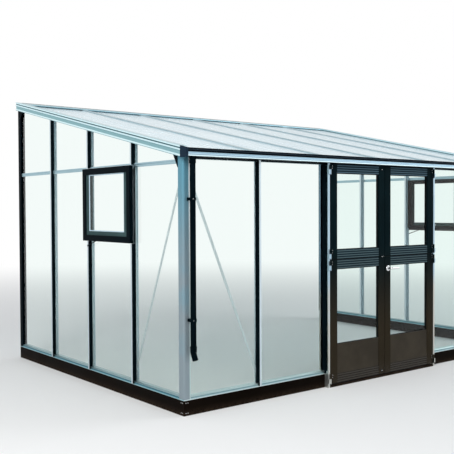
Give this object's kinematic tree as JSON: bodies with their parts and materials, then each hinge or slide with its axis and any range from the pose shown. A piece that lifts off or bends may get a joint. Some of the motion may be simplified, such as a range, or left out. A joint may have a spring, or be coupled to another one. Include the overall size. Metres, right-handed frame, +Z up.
{
  "type": "lean-to glass greenhouse",
  "caption": "Lean-to glass greenhouse: aluminium frame on a dark steel plinth, single-pitch roof with gutter, hinged stable-type doors and a vent window in each gable.",
  "frame": {"origin": "on the ground under the centre of the bounding box", "axes": "+X along the front to the right, +Y towards the house wall, +Z up"},
  "size_m": [4.51, 3.059, 2.65],
  "materials": {
    "aluminium": "satin mill",
    "black_trim": "satin black",
    "plinth_steel": "satin, nearly black brown",
    "door_paint": "satin anthracite",
    "glass": "clear",
    "roof_sheet": "milky twin-wall sheet",
    "bright_metal": "polished"
  },
  "bodies": {
    "frame": {"sill_front": "aluminium", "sill_sides": "aluminium", "corner_posts": "aluminium", "side_bars": "aluminium", "front_bars": "aluminium", "door_posts": "aluminium", "eave_beam": "aluminium", "gutter": "aluminium", "rake_bars": "aluminium", "wall_plate": "aluminium", "roof_bars": "aluminium", "side_rails": "aluminium", "wind_braces": "aluminium", "wall_posts": "black_trim", "glazing_caps": "black_trim", "eave_trim": "black_trim", "gutter_ends": "black_trim", "corner_brackets": "black_trim", "downpipes": "black_trim", "pipe_clips": "black_trim", "vent_frames": "black_trim", "vent_sashes": "black_trim", "vent_stays": "black_trim", "base_front": "plinth_steel", "base_sides": "plinth_steel", "threshold": "plinth_steel", "hinge_knuckles": "door_paint", "side_glass_left": "glass", "side_glass_right": "glass", "front_glass": "glass", "vent_glass": "glass", "roof_sheets": "roof_sheet"},
    "left_leaf": {"left_stiles": "door_paint", "left_rails": "door_paint", "left_panel": "door_paint", "left_glass": "glass", "left_hinges": "door_paint", "left_latches": "bright_metal"},
    "right_leaf": {"right_stiles": "door_paint", "right_rails": "door_paint", "right_panel": "door_paint", "right_glass": "glass", "right_hinges": "door_paint", "handle_roses": "bright_metal"},
    "door_handle": {"lever_handle": "bright_metal"}
  },
  "joints": [
    {"name": "left_leaf_hinge", "type": "hinge", "parent": "frame", "child": "left_leaf", "pos_m": [-0.71, -1.4845, 0], "axis": [0, 0, -1], "range_deg": [0, 100]},
    {"name": "right_leaf_hinge", "type": "hinge", "parent": "frame", "child": "right_leaf", "pos_m": [0.71, -1.4845, 0], "axis": [0, 0, 1], "range_deg": [0, 100]},
    {"name": "lever_turn", "type": "hinge", "parent": "right_leaf", "child": "door_handle", "pos_m": [0.0415, -1.4745, 0.99], "axis": [0, 1, 0], "range_deg": [0, 40], "stiffness_Nm_per_rad": 1.5, "springref_deg": -17.19}
  ]
}
